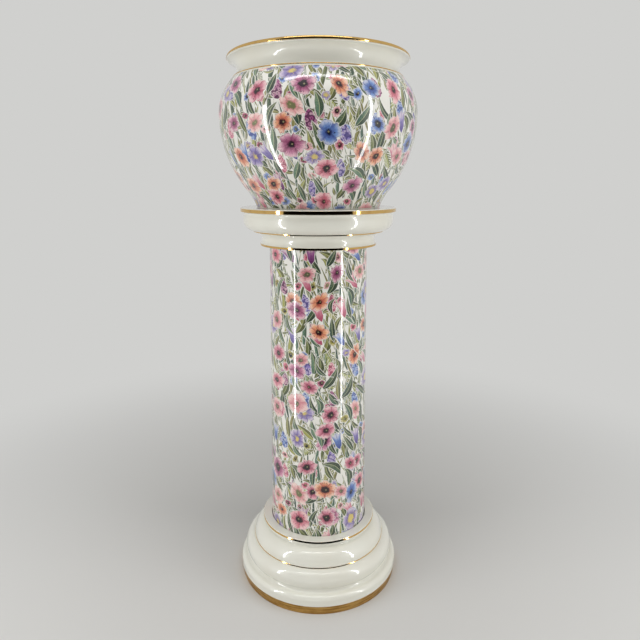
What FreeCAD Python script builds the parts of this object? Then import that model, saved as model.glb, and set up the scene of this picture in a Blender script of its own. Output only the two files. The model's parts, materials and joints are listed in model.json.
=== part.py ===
import FreeCAD, Part
import math
import os
import re
import Sketcher

# A jardiniere on its stand: a loose slip-cast pot on a pedestal made of a cap, a column and a base,
# with adhesive beds in the two sockets and gilt bands and lines on the mouldings.
# Millimetres, +Z up, origin on the floor at the middle of the foot.

# Every driving dimension: its name, its value and what it measures.  Each piece is turned round the
# Z axis, so a radius is measured from that axis and a height from the piece's own lowest face.
SIZES = (
    # the base
    ("foot_radius", 141.8, "foot, where it stands on the floor"),
    ("foot_band_radius", 143.0, "foot, at the top of its gilt band"),
    ("foot_band_height", 15.5, "height of the gilt plinth of the foot"),
    ("foot_ring_width", 11.0, "width of the ring that touches the floor"),
    ("plinth_radius", 144.3, "white lip over the gilt plinth"),
    ("plinth_height", 9.5, "upright face of that lip"),
    ("plinth_round", 8.3, "how far the lip rounds in"),
    ("plinth_round_height", 7.8, "height of that rounding"),
    ("valley_width", 5.2, "width of the hollow above the lip"),
    ("valley_height", 5.2, "height of the hollow above the lip"),
    ("ring_radius", 135.2, "great round moulding, at its widest"),
    ("ring_half_height", 12.6, "from the hollow up to that widest place"),
    ("ring_top_height", 17.6, "from the widest place up to the fine line"),
    ("line_radius", 119.2, "fine gilt line on the base"),
    ("line_height", 1.6, "height of a fine gilt line's face"),
    ("shoulder_radius", 100.5, "small round moulding, where it runs in under the ledge"),
    ("shoulder_height", 24.4, "height of the small round moulding"),
    ("cove_radius", 98.0, "narrow place under the ledge"),
    ("cove_height", 5.8, "height of the cove under the ledge"),
    ("ledge_radius", 102.3, "edge of the ledge that carries the column"),
    ("ledge_flare", 3.4, "height over which the ledge flares out"),
    ("ledge_edge_height", 3.2, "upright gilt edge of the ledge"),
    ("ledge_round", 1.0, "rounding over the gilt edge"),
    ("base_wall", 9.0, "wall of the base casting"),
    ("base_floor", 9.0, "thickness of the socket's floor"),
    # the column and its sockets
    ("column_foot_radius", 86.5, "outside of the column, lower end"),
    ("column_top_radius", 84.0, "outside of the column, upper end"),
    ("column_wall", 7.5, "wall of the column"),
    ("column_length", 521.0, "length of the column, end to end"),
    ("socket_clearance", 0.8, "gap round the column in a socket"),
    ("base_socket_depth", 10.0, "depth of the socket in the base"),
    ("cap_socket_depth", 12.0, "depth of the socket in the cap"),
    ("socket_seat_width", 11.0, "width of the seat that an end of the column stands on"),
    ("bed_thickness", 1.2, "adhesive bed at each end of the column"),
    # the cap
    ("cap_foot_radius", 99.3, "gilt bottom edge of the cap"),
    ("cap_foot_height", 3.4, "height of that gilt edge"),
    ("cap_neck_radius", 96.6, "narrow place of the cap"),
    ("cap_neck_height", 8.1, "from the gilt edge up to the narrow place"),
    ("cap_cove_radius", 110.5, "outer end of the hollow moulding"),
    ("cap_cove_height", 12.1, "from the narrow place up to that end"),
    ("cap_line_radius", 111.3, "fine gilt line on the cap"),
    ("cap_torus_radius", 127.8, "round moulding of the cap, at its widest"),
    ("cap_torus_height", 16.8, "from the fine line up to the widest place"),
    ("cap_shoulder_radius", 126.4, "top of the round moulding"),
    ("cap_shoulder_height", 10.6, "from the widest place up to the top"),
    ("cap_flare_height", 4.5, "from the round moulding up to the disc's edge"),
    ("cap_disc_radius", 132.0, "edge of the disc that carries the pot"),
    ("cap_edge_height", 5.5, "upright gilt edge of the disc"),
    ("cap_edge_round", 1.4, "rounding over the disc's edge"),
    ("cap_wall", 9.0, "wall of the cap casting"),
    ("cap_plate", 9.0, "thickness of the disc that carries the pot"),
    # the pot
    ("pot_foot_radius", 104.0, "outside of the pot's foot ring"),
    ("pot_foot_width", 8.5, "width of the foot ring"),
    ("pot_foot_recess", 3.0, "recess inside the foot ring"),
    ("pot_heel_radius", 116.5, "pot, where the foot runs into the belly"),
    ("pot_heel_bulge", 0.8, "how far the foot curves in from a straight line"),
    ("pot_heel_height", 23.0, "height of that place"),
    ("pot_belly_radius", 163.5, "pot, at its widest"),
    ("pot_belly_height", 126.0, "from the heel up to the widest place"),
    ("pot_shoulder_radius", 140.3, "pot, at the lower edge of the fine line"),
    ("pot_shoulder_height", 56.0, "from the widest place up to the fine line"),
    ("pot_line_slope", 1.5, "how far the fine line's face leans in"),
    ("pot_line_height", 1.9, "height of the fine line's face"),
    ("pot_throat_radius", 133.0, "pot, at its narrowest under the rim"),
    ("pot_throat_height", 11.4, "from the fine line up to the narrowest place"),
    ("pot_throat_hollow", 1.7, "how far the neck curves in from a straight line"),
    ("pot_rim_radius", 147.0, "rim, where its flare meets the lip"),
    ("pot_rim_wall", 12.3, "wall of the flared rim, measured level"),
    ("pot_rim_height", 15.4, "from the narrowest place up to the lip"),
    ("pot_lip_radius", 148.3, "lip, at its widest"),
    ("pot_lip_round", 1.9, "height of the rounding under the gilt lip"),
    ("pot_lip_height", 4.9, "height of the gilt lip"),
    ("pot_lip_width", 8.0, "thickness of the lip"),
    ("pot_lip_lean", 3.3, "how far the gilt lip leans in at its top"),
    ("pot_wall", 7.5, "wall of the pot"),
    ("pot_floor", 9.0, "floor of the pot, over the recess"),
    ("pot_inside_corner", 13.5, "run of the rounding from the pot's floor up to its wall"),
    # the gilding
    ("gilding", 0.3, "thickness of a gilt band"),
    ("floor_gap", 0.5, "gap between the foot's gilt band and the floor"),
    ("lip_gap", 0.2, "gap between the gold on the lip and the lip's own arc"),
)

SHEET = "Sizes"
PARTS_FOLDER = "parts"

# Where the middle of a quarter arc lies, as shares of its run and rise: the far one and the near one.
QUARTER_FAR = "%.4f" % math.sin(math.radians(45))
QUARTER_NEAR = "%.4f" % (1 - math.cos(math.radians(45)))

doc = FreeCAD.newDocument("jardiniere_on_stand")
sheet = doc.addObject("Spreadsheet::Sheet", SHEET)
for row, (alias, value, meaning) in enumerate(SIZES, start=1):
    sheet.set("A%d" % row, alias)
    sheet.set("B%d" % row, str(value))
    sheet.set("C%d" % row, meaning)
    sheet.setAlias("B%d" % row, alias)
doc.recompute()


def bound(text):
    """Size names in a sum, such as 'pot_belly_radius - pot_wall', as references to the sheet."""
    return re.sub(r"[a-z][a-z_]+", SHEET + r".\g<0>", text)


def measure(text):
    """The value of such a sum."""
    return float(sheet.evalExpression(bound(text)))


def add(*terms):
    return " + ".join(terms)


# Heights that more than one piece reads, each a sum of the sizes below it.
PLINTH_TOP = "foot_band_height + plinth_height"
ROUND_TOP = add(PLINTH_TOP, "plinth_round_height")
VALLEY_TOP = add(ROUND_TOP, "valley_height")
VALLEY_RADIUS = "plinth_radius - plinth_round - valley_width"
RING_MIDDLE = add(VALLEY_TOP, "ring_half_height")
LINE_FOOT = add(RING_MIDDLE, "ring_top_height")
LINE_TOP = add(LINE_FOOT, "line_height")
SHOULDER_TOP = add(LINE_TOP, "shoulder_height")
COVE_TOP = add(SHOULDER_TOP, "cove_height")
EDGE_FOOT = add(COVE_TOP, "ledge_flare")
EDGE_TOP = add(EDGE_FOOT, "ledge_edge_height")
BASE_HEIGHT = add(EDGE_TOP, "ledge_round")
BASE_SEAT = BASE_HEIGHT + " - base_socket_depth"
COLUMN_FOOT = add(BASE_SEAT, "bed_thickness")
COLUMN_HEAD = add(COLUMN_FOOT, "column_length")

CAP_NECK = "cap_foot_height + cap_neck_height"
CAP_COVE_TOP = add(CAP_NECK, "cap_cove_height")
CAP_LINE_TOP = add(CAP_COVE_TOP, "line_height")
CAP_TORUS_MIDDLE = add(CAP_LINE_TOP, "cap_torus_height")
CAP_SHOULDER_TOP = add(CAP_TORUS_MIDDLE, "cap_shoulder_height")
CAP_EDGE_FOOT = add(CAP_SHOULDER_TOP, "cap_flare_height")
CAP_EDGE_TOP = add(CAP_EDGE_FOOT, "cap_edge_height")
CAP_HEIGHT = add(CAP_EDGE_TOP, "cap_edge_round")
CAP_FOOT = add(COLUMN_HEAD, "bed_thickness") + " - cap_socket_depth"
POT_FOOT = add(CAP_FOOT, CAP_HEIGHT)

POT_BELLY = "pot_heel_height + pot_belly_height"
POT_LINE_FOOT = add(POT_BELLY, "pot_shoulder_height")
POT_LINE_TOP = add(POT_LINE_FOOT, "pot_line_height")
POT_THROAT = add(POT_LINE_TOP, "pot_throat_height")
POT_RIM = add(POT_THROAT, "pot_rim_height")
POT_LIP_FOOT = add(POT_RIM, "pot_lip_round")
POT_LIP_TOP = add(POT_LIP_FOOT, "pot_lip_height")


def arc_points(start, end, rule, through):
    """A point on the arc between two ends, for its first place in the sketch."""
    if rule == "through":
        return through
    level = rule.endswith("level")
    near, far = (start, end) if rule.startswith("start") else (end, start)
    run = far[0] - near[0]
    rise = far[1] - near[1]
    if level:
        centre = (near[0] + (run ** 2 + rise ** 2) / (2 * run), near[1])
    else:
        centre = (near[0], near[1] + (run ** 2 + rise ** 2) / (2 * rise))
    reach = math.hypot(near[0] - centre[0], near[1] - centre[1])
    side = ((start[0] + end[0]) / 2 - centre[0], (start[1] + end[1]) / 2 - centre[1])
    scale = reach / math.hypot(*side)
    return centre[0] + side[0] * scale, centre[1] + side[1] * scale


def between(start, end, share):
    return "(%s) + ((%s) - (%s)) * %s" % (start, end, start, share)


def led(start, step):
    """A flat_start or flat_end step as one that leads through the middle of its quarter."""
    if isinstance(step[0], str) or step[1] not in ("flat_start", "flat_end"):
        return step
    end = step[0]
    shares = (QUARTER_FAR, QUARTER_NEAR)
    if step[1] == "flat_end":
        shares = shares[::-1]
    return end, "through", (between(start[0], end[0], shares[0]), between(start[1], end[1], shares[1]))


def outline(body, name, *steps):
    """A closed outline in a body's XZ plane, as radius and height.

    A step is a point, which a line runs to from the step before, or a point and a rule, which an arc
    runs to.  The first step follows the last.  The rules start_level and end_level put the arc's
    centre level with its start or end, so that the arc stands upright there.  The rules start_plumb
    and end_plumb put the centre straight over or under it, so that the arc lies flat there.  The rule
    through leads the arc through a second point.  The rules flat_start and flat_end lead it through
    the middle of the quarter ellipse between its ends, so that a wide or a tall step stays a quarter.
    """
    sketch = body.newObject("Sketcher::SketchObject", name)
    plane = [item for item in body.Origin.OriginFeatures if item.Role == "XZ_Plane"][0]
    sketch.AttachmentSupport = [(plane, "")]
    sketch.MapMode = "FlatFace"
    corners = [step if isinstance(step[0], str) else step[0] for step in steps]
    steps = [led(corners[number - 1], step) for number, step in enumerate(steps)]
    places = [(measure(radius), measure(height)) for radius, height in corners]
    ends = []
    rules = []
    for number, step in enumerate(steps):
        following = (number + 1) % len(steps)
        start, end = places[number], places[following]
        step = steps[following]
        first = FreeCAD.Vector(start[0], start[1], 0)
        last = FreeCAD.Vector(end[0], end[1], 0)
        if isinstance(step[0], str):
            index = sketch.addGeometry(Part.LineSegment(first, last), False)
            ends.append((index, 1, 2))
            continue
        through = tuple(measure(text) for text in step[2]) if len(step) > 2 else None
        middle = arc_points(start, end, step[1], through)
        arc = Part.Arc(first, FreeCAD.Vector(middle[0], middle[1], 0), last)
        index = sketch.addGeometry(arc, False)
        near, far = (sketch.getPoint(index, end).distanceToPoint(first) for end in (1, 2))
        ends.append((index, 1, 2) if near < far else (index, 2, 1))
        rules.append((index, ends[-1], step))
    for number, (index, start, end) in enumerate(ends):
        following = ends[(number + 1) % len(ends)]
        sketch.addConstraint(Sketcher.Constraint("Coincident", index, end, following[0], following[1]))
        place(sketch, "corner%d" % number, index, start, corners[number])
    for index, (_, start, end), step in rules:
        rule = step[1]
        if rule == "through":
            point = FreeCAD.Vector(measure(step[2][0]), measure(step[2][1]), 0)
            mark = sketch.addGeometry(Part.Point(point), True)
            place(sketch, "through%d" % index, mark, 1, step[2])
            sketch.addConstraint(Sketcher.Constraint("PointOnObject", mark, 1, index))
        else:
            kind = "Horizontal" if rule.endswith("level") else "Vertical"
            near = start if rule.startswith("start") else end
            sketch.addConstraint(Sketcher.Constraint(kind, index, 3, index, near))
    return sketch


def place(sketch, name, index, position, corner):
    """Ties a point of a sketch to the sheet: its radius, then its height."""
    for kind, axis, text in (("DistanceX", -2, corner[0]), ("DistanceY", -1, corner[1])):
        if text == "0":
            sketch.addConstraint(Sketcher.Constraint("PointOnObject", index, position, axis))
            continue
        number = sketch.addConstraint(Sketcher.Constraint(kind, -1, 1, index, position, measure(text)))
        label = name + ("_radius" if kind == "DistanceX" else "_height")
        sketch.renameConstraint(number, label)
        sketch.setExpression("Constraints." + label, bound(text))


def new_body(label, height):
    """An empty body at its height over the floor."""
    body = doc.addObject("PartDesign::Body", label)
    body.Label = label
    if height != "0":
        body.setExpression("Placement.Base.z", bound(height))
    return body


def turn(body, kind, name, *steps):
    """Adds or cuts the form that an outline makes as it turns once round the Z axis."""
    sketch = outline(body, name + "_outline", *steps)
    feature = body.newObject("PartDesign::" + kind, name)
    feature.Profile = sketch
    feature.ReferenceAxis = (sketch, ["V_Axis"])
    feature.Angle = 360.0
    sketch.Visibility = False
    doc.recompute()
    return feature


def socket_radius(column_radius):
    return column_radius + " + socket_clearance"


def seat_radius(column_radius):
    return column_radius + " - socket_seat_width"


def make_base():
    """The moulded foot: plinth, great ring, small round and ledge, hollow and open below."""
    body = new_body("stand_base", "0")
    turn(
        body, "Revolution", "base_form",
        ("0", "0"),
        ("foot_radius", "0"),
        ("foot_band_radius", "foot_band_height"),
        ("plinth_radius", "foot_band_height"),
        ("plinth_radius", PLINTH_TOP),
        (("plinth_radius - plinth_round", ROUND_TOP), "start_level"),
        ((VALLEY_RADIUS, VALLEY_TOP), "start_plumb"),
        (("ring_radius", RING_MIDDLE), "end_level"),
        (("line_radius", LINE_FOOT), "flat_end"),
        ("line_radius", LINE_TOP),
        (("shoulder_radius", SHOULDER_TOP), "start_level"),
        (("cove_radius", add(SHOULDER_TOP, "cove_height / 2")), "end_level"),
        ("cove_radius", COVE_TOP),
        (("ledge_radius", EDGE_FOOT), "flat_end"),
        ("ledge_radius", EDGE_TOP),
        (("ledge_radius - ledge_round", BASE_HEIGHT), "start_level"),
        ("0", BASE_HEIGHT),
    )
    turn(
        body, "Groove", "base_hollow",
        ("0", "0"),
        ("foot_radius - foot_ring_width", "0"),
        ("foot_band_radius - foot_ring_width", "foot_band_height / 2"),
        ("plinth_radius - foot_ring_width", PLINTH_TOP),
        (VALLEY_RADIUS + " - base_wall", VALLEY_TOP),
        ("ring_radius - base_wall", RING_MIDDLE),
        (("line_radius - base_wall", LINE_FOOT + " - base_wall"), "flat_end"),
        ("line_radius - base_wall", LINE_TOP),
        (("shoulder_radius - base_wall", BASE_SEAT + " - base_floor"), "flat_end"),
        ("0", BASE_SEAT + " - base_floor"),
    )
    turn(
        body, "Groove", "base_socket",
        ("0", BASE_SEAT),
        (socket_radius("column_foot_radius"), BASE_SEAT),
        (socket_radius("column_foot_radius"), BASE_HEIGHT),
        ("0", BASE_HEIGHT),
    )
    turn(
        body, "Groove", "base_bore",
        ("0", BASE_SEAT + " - base_floor"),
        (seat_radius("column_foot_radius"), BASE_SEAT + " - base_floor"),
        (seat_radius("column_foot_radius"), BASE_SEAT),
        ("0", BASE_SEAT),
    )


def make_column():
    """The straight column, a tube that narrows a little towards its top."""
    body = new_body("stand_column", COLUMN_FOOT)
    turn(
        body, "Revolution", "column_form",
        ("column_foot_radius - column_wall", "0"),
        ("column_foot_radius", "0"),
        ("column_top_radius", "column_length"),
        ("column_top_radius - column_wall", "column_length"),
    )


def make_cap():
    """The moulded top: foot edge, hollow moulding, torus and disc, hollow inside, with its socket below."""
    body = new_body("stand_cap", CAP_FOOT)
    inner_top = CAP_HEIGHT + " - cap_plate"
    seat_top = add("cap_socket_depth", "cap_wall")
    turn(
        body, "Revolution", "cap_form",
        ("0", "0"),
        ("cap_foot_radius", "0"),
        ("cap_foot_radius", "cap_foot_height"),
        (("cap_neck_radius", CAP_NECK), "end_level"),
        (("cap_cove_radius", CAP_COVE_TOP), "flat_end"),
        ("cap_line_radius", CAP_COVE_TOP),
        ("cap_line_radius", CAP_LINE_TOP),
        (("cap_torus_radius", CAP_TORUS_MIDDLE), "flat_start"),
        (("cap_shoulder_radius", CAP_SHOULDER_TOP), "flat_end"),
        (("cap_disc_radius", CAP_EDGE_FOOT), "flat_end"),
        ("cap_disc_radius", CAP_EDGE_TOP),
        (("cap_disc_radius - cap_edge_round", CAP_HEIGHT), "start_level"),
        ("0", CAP_HEIGHT),
    )
    turn(
        body, "Groove", "cap_hollow",
        ("0", seat_top),
        (seat_radius("column_top_radius"), seat_top),
        ("cap_line_radius - cap_wall", CAP_LINE_TOP + " + cap_wall / 2"),
        (("cap_torus_radius - cap_wall", CAP_TORUS_MIDDLE), "flat_start"),
        ("cap_shoulder_radius - cap_wall", inner_top + " - cap_shoulder_height / 2"),
        (("cap_shoulder_radius - cap_wall - cap_shoulder_height / 2", inner_top), "start_level"),
        ("0", inner_top),
    )
    turn(
        body, "Groove", "cap_socket",
        ("0", "0"),
        (socket_radius("column_top_radius"), "0"),
        (socket_radius("column_top_radius"), "cap_socket_depth"),
        ("0", "cap_socket_depth"),
    )
    turn(
        body, "Groove", "cap_bore",
        ("0", "cap_socket_depth"),
        (seat_radius("column_top_radius"), "cap_socket_depth"),
        (seat_radius("column_top_radius"), seat_top),
        ("0", seat_top),
    )


def make_pot():
    """The loose pot: foot ring, full belly, narrow throat and flared rim."""
    body = new_body("jardiniere_pot", POT_FOOT)
    neck = "pot_shoulder_radius - pot_line_slope"
    heel_middle = (
        between("pot_foot_radius", "pot_heel_radius", "0.5") + " - pot_heel_bulge",
        "pot_heel_height / 2",
    )
    neck_middle = (
        between(neck, "pot_throat_radius", "0.5") + " - pot_throat_hollow",
        between(POT_LINE_TOP, POT_THROAT, "0.5"),
    )
    turn(
        body, "Revolution", "pot_form",
        ("0", "0"),
        ("pot_foot_radius", "0"),
        (("pot_heel_radius", "pot_heel_height"), "through", heel_middle),
        (("pot_belly_radius", POT_BELLY), "end_level"),
        (("pot_shoulder_radius", POT_LINE_FOOT), "start_level"),
        (neck, POT_LINE_TOP),
        (("pot_throat_radius", POT_THROAT), "through", neck_middle),
        (("pot_rim_radius", POT_RIM), "flat_end"),
        (("pot_lip_radius", POT_LIP_FOOT), "flat_start"),
        (("pot_lip_radius - pot_lip_lean", POT_LIP_TOP), "start_level"),
        ("0", POT_LIP_TOP),
    )
    turn(
        body, "Groove", "pot_hollow",
        ("0", "pot_foot_recess + pot_floor"),
        ("pot_heel_radius - pot_wall - pot_inside_corner", "pot_foot_recess + pot_floor"),
        (("pot_heel_radius - pot_wall", "pot_heel_height + pot_wall"), "start_plumb"),
        (("pot_belly_radius - pot_wall", POT_BELLY), "end_level"),
        ((neck + " - pot_wall", POT_LINE_TOP), "start_level"),
        ("pot_throat_radius - pot_wall", POT_THROAT),
        (("pot_rim_radius - pot_rim_wall", POT_RIM), "start_level"),
        ("pot_lip_radius - pot_lip_width", POT_LIP_FOOT),
        (("pot_lip_radius - pot_lip_lean", POT_LIP_TOP), "end_plumb"),
        ("0", POT_LIP_TOP),
    )
    turn(
        body, "Groove", "pot_recess",
        ("0", "0"),
        ("pot_foot_radius - pot_foot_width", "0"),
        ("pot_foot_radius - pot_foot_width", "pot_foot_recess"),
        ("0", "pot_foot_recess"),
    )


def make_bed(label, column_radius, height):
    """A ring of adhesive that an end of the column stands in."""
    body = new_body(label, height)
    turn(
        body, "Revolution", label + "_form",
        (column_radius + " - column_wall", "0"),
        (column_radius, "0"),
        (column_radius, "bed_thickness"),
        (column_radius + " - column_wall", "bed_thickness"),
    )


def make_band(label, height, foot_radius, top_radius, band_foot, band_top):
    """A gilt band on a straight face of a moulding, as thick as the gilding all the way up."""
    body = new_body(label, height)
    turn(
        body, "Revolution", label + "_form",
        (foot_radius, band_foot),
        (foot_radius + " + gilding", band_foot),
        (top_radius + " + gilding", band_top),
        (top_radius, band_top),
    )


def make_lip_gilding():
    """The gold over the pot's lip: it follows the lip's own arc and covers its crown."""
    body = new_body("pot_rim_gilding", POT_FOOT)
    crown = "pot_lip_radius - pot_lip_lean"
    turn(
        body, "Revolution", "pot_rim_gilding_form",
        (("pot_lip_radius + lip_gap", POT_LIP_FOOT), "end_level"),
        ("pot_lip_radius + lip_gap + gilding", POT_LIP_FOOT),
        ((crown, POT_LIP_TOP + " + lip_gap + gilding"), "start_level"),
        (crown, POT_LIP_TOP + " + lip_gap"),
    )


def make_gilding():
    """The gold on the mouldings, from the foot to the lip."""
    face_foot = "(foot_radius + (foot_band_radius - foot_radius) * floor_gap / foot_band_height)"
    make_band("base_foot_gilding", "0", face_foot, "foot_band_radius", "floor_gap", "foot_band_height")
    make_band("base_ring_gilding", "0", "line_radius", "line_radius", LINE_FOOT, LINE_TOP)
    make_band("base_disc_gilding", "0", "ledge_radius", "ledge_radius", EDGE_FOOT, EDGE_TOP)
    make_band("cap_foot_gilding", CAP_FOOT, "cap_foot_radius", "cap_foot_radius", "0", "cap_foot_height")
    make_band("cap_step_gilding", CAP_FOOT, "cap_line_radius", "cap_line_radius", CAP_COVE_TOP, CAP_LINE_TOP)
    make_band("cap_edge_gilding", CAP_FOOT, "cap_disc_radius", "cap_disc_radius", CAP_EDGE_FOOT, CAP_EDGE_TOP)
    neck = "pot_shoulder_radius"
    make_band("pot_neck_gilding", POT_FOOT, neck, neck + " - pot_line_slope", POT_LINE_FOOT, POT_LINE_TOP)
    make_lip_gilding()


def check(bodies):
    """Stops the script if any object failed or any piece is not one sound solid."""
    for item in doc.Objects:
        if "Invalid" in item.State or "Error" in item.State:
            raise RuntimeError("%s failed: %s" % (item.Name, item.State))
    for body in bodies:
        if body.Shape.isNull() or not body.Shape.isValid() or len(body.Shape.Solids) != 1:
            raise RuntimeError("%s is not one sound solid" % body.Label)


def main():
    make_base()
    make_column()
    make_cap()
    make_pot()
    make_bed("base_joint_bed", "column_foot_radius", BASE_SEAT)
    make_bed("cap_joint_bed", "column_top_radius", COLUMN_HEAD)
    make_gilding()
    doc.recompute()
    bodies = [item for item in doc.Objects if item.TypeId == "PartDesign::Body"]
    check(bodies)
    os.makedirs(PARTS_FOLDER, exist_ok=True)
    for body in bodies:
        box = body.Shape.BoundBox
        print("%-18s volume %10.1f  z %7.2f to %7.2f  radius %6.2f" % (
            body.Label, body.Shape.Volume, box.ZMin, box.ZMax, box.XMax))
        body.Shape.exportStep(os.path.join(PARTS_FOLDER, body.Label + ".step"))


main()
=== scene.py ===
import json
import math

import bmesh
import bpy
from mathutils import Matrix, Vector

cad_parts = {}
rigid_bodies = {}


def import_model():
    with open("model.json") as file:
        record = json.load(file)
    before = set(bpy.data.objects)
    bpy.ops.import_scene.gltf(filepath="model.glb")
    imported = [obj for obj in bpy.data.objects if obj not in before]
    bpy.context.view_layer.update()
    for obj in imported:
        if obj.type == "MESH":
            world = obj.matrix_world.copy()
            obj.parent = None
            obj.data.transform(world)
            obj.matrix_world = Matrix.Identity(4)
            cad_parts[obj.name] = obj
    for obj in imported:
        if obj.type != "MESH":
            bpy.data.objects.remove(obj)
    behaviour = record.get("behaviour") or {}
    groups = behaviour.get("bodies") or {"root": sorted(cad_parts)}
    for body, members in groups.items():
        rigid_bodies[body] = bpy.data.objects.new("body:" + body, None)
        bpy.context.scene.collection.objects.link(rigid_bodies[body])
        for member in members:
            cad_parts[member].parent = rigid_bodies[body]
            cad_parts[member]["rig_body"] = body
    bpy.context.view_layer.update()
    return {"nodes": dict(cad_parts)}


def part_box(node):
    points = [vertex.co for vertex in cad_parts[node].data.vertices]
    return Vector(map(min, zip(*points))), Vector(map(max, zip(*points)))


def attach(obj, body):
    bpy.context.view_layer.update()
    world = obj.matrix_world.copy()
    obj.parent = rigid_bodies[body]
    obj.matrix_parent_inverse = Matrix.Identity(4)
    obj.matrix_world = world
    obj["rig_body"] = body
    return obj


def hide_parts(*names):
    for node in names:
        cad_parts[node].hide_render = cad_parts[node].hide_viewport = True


bl_info = {
    "name": "Jardiniere on its stand",
    "version": (1, 0, 0),
    "blender": (4, 5, 0),
    "location": "View3D > Sidebar > Jardiniere",
    "description": "Glazes, prints and gilds a jardiniere that stands on a column, round its CAD frame",
    "category": "Add Mesh",
}

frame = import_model()
MM = 0.001
TURN = 2 * math.pi

# Lengths that count as the same, and as nothing, in metres.
NEAR = 1e-6
TINY = 1e-7

# Corners of an outline sharper than this are rounded, in so many steps, by arcs that take up to this share
# of a side.
SHARP_TURN = math.radians(24)
ARC_STEPS = 4
SIDE_SHARE = 0.42

# Gold lines that don't shade as their flat sides do: whether each is domed, and its lean in degrees.
PLAIN_SHEEN = (False, 0.0)
SHEENS = {
    "base_disc_gilding": (False, 30.0),
    "base_ring_gilding": (False, 30.0),
    "pot_neck_gilding": (True, 0.0),
    "pot_rim_gilding": (True, -16.0),
}

# The pot's print runs from its foot up to just under the fine gold line.  Its lanes have their full width
# at a radius in millimetres.  The column's lengths start at one in metres, far above the pot's.
POT_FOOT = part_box("jardiniere_pot")[0][2]
POT_PRINT_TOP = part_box("pot_neck_gilding")[0][2] - 0.0024
POT_PRINT_LOW_ARC = POT_FOOT + 0.03
POT_LANES_RADIUS = 148.0
COLUMN_FOOT, COLUMN_TOP = (corner[2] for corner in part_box("stand_column"))
COLUMN_START = 2.0

# Share of the baked map that the printed side takes, and the gap left over its strips.
PRINT_SHARE = 0.9
BAKE_GAP = 0.012

# Added to a motif's seed, so that its rows, its details and its petals are drawn apart.
ROW_SEED = 0.5
SPARE_SEED = 3.1
PETAL_SEED = 5.7

# The studio: where lights stand and what they aim at, with their sizes, in metres.
SIDE_PLACE, SIDE_AIM, SIDE_SIZE = (1.25, -0.64, 0.62), (0, 0, 0.42), 0.9
OVERHEAD_PLACE, OVERHEAD_AIM, OVERHEAD_SIZE = (0, -0.2, 2.0), (0, 0, 0.4), 0.9
FRONT_PLACE, FRONT_AIM, FRONT_SIZE = (0, -0.6, 1.9), (0, -0.14, 0.86), (1.35, 0.11)
CARD_PLACE, CARD_HEIGHT = (0, -1.25, 0.75), 1.9
FLOOR_RADIUS = 3.2
FADE_START, FADE_END = FLOOR_RADIUS * 0.06, FLOOR_RADIUS * 0.4


def paint(red, green, blue):
    """A colour as a painter mixes it, 0 to 255 on a screen, as the linear colour that a shader takes."""
    def linear(level):
        level = level / 255
        return level / 12.92 if level <= 0.04045 else ((level + 0.055) / 1.055) ** 2.4
    return linear(red), linear(green), linear(blue)


def paints(*shades):
    return tuple(paint(*shade) for shade in shades)


def colour_setting(name, description, shade):
    return bpy.props.FloatVectorProperty(
        name=name, description=description, subtype="COLOR", size=3, min=0, max=1, default=paint(*shade))


def length_setting(name, description, metres):
    return bpy.props.FloatProperty(
        name=name, description=description, default=metres, min=0, unit="LENGTH", precision=5)


def share_setting(name, description, value):
    return bpy.props.FloatProperty(name=name, description=description, default=value, min=0, max=1)


def number_setting(name, description, value, least=0.0):
    return bpy.props.FloatProperty(name=name, description=description, default=value, min=least)


def angle_setting(name, description, degrees):
    return bpy.props.FloatProperty(
        name=name, description=description, default=math.radians(degrees), subtype="ANGLE")


class TurningSettings(bpy.types.PropertyGroup):
    turns: bpy.props.IntProperty(
        name="Segments", description="Faces round a turned piece", default=256, min=32, max=1024)
    glaze_round: length_setting("Glaze rounding", "Radius that the glaze leaves on a pottery edge", 0.0007)
    gold_round: length_setting("Gold rounding", "Radius on the edges of a gilt band", 0.00012)


class GlazeSettings(bpy.types.PropertyGroup):
    ivory: colour_setting("Ivory", "Body colour of the plain glaze", (233, 232, 221))
    ground: colour_setting("Ground", "Glaze between the printed flowers", (242, 240, 233))
    pooled: colour_setting("Pooled", "Tint where the glaze lies thick", (219, 213, 196))
    speck: colour_setting("Speck", "Pinholes and specks in the glaze", (150, 138, 112))
    roughness: share_setting("Roughness", "Roughness of the fired glaze", 0.022)
    adhesive: colour_setting("Adhesive", "Set ceramic adhesive in a socket", (205, 200, 188))
    adhesive_deep: colour_setting("Adhesive, deep", "Darker grit in the adhesive", (160, 152, 136))
    print_depth: number_setting("Print depth", "How much deeper the print fires than it is mixed", 1.2, 0.1)
    print_strength: share_setting("Print strength", "Saturation that the print keeps under its glaze", 0.88)


class GoldSettings(bpy.types.PropertyGroup):
    bright: colour_setting("Bright gold", "Burnished lines on the mouldings", (224, 186, 116))
    worn: colour_setting("Worn gold", "Where the line is thin or rubbed", (188, 148, 90))
    foot: colour_setting("Foot gold", "Brushed gold band round the foot", (204, 164, 96))
    foot_deep: colour_setting("Foot gold, deep", "Darker brush marks in that band", (164, 122, 62))


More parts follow.
